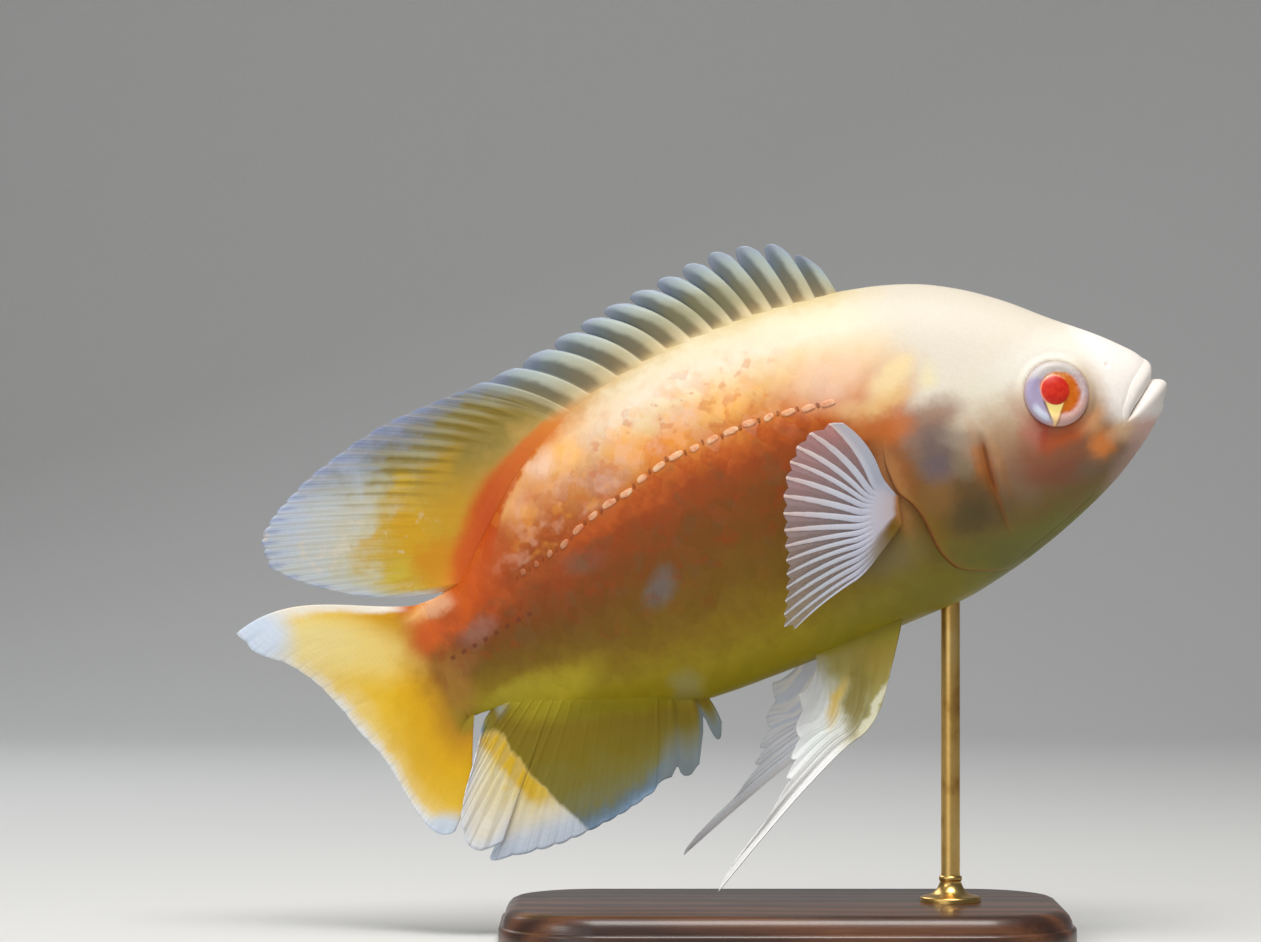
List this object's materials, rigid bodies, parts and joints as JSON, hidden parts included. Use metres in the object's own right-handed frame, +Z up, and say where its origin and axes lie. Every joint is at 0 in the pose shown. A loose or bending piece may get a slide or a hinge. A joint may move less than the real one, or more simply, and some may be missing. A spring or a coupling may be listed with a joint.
{
  "type": "oscar fish museum model",
  "caption": "Life-size still model of a lemon-and-orange oscar fish, nose up with its fins spread, on a flat base with an upright rod.",
  "frame": {"origin": "middle of the underside of the stand's base", "axes": "+X towards the fish's snout, +Y to the fish's left, +Z up"},
  "size_m": [0.2462, 0.086, 0.1833],
  "materials": {
    "head_skin": "satin cream skin, as on a painted museum cast",
    "body_skin": "satin scaled skin in orange and yellow",
    "fin_skin": "satin yellow membrane with pale rays",
    "pale_fin": "thin whitish membrane with white rays",
    "eye": "glossy red and orange",
    "stand_wood": "dark satin varnish",
    "stand_brass": "brushed"
  },
  "bodies": {
    "root": {"head": "head_skin", "torso": "body_skin", "tail_stalk": "body_skin", "eye_right": "eye", "eye_left": "eye", "dorsal_fin": "fin_skin", "anal_fin": "fin_skin", "caudal_fin": "fin_skin", "pectoral_fin_right": "pale_fin", "pectoral_fin_left": "pale_fin", "pelvic_fin_right": "pale_fin", "pelvic_fin_left": "pale_fin", "stand_base": "stand_wood", "stand_rod": "stand_brass"}
  },
  "joints": []
}
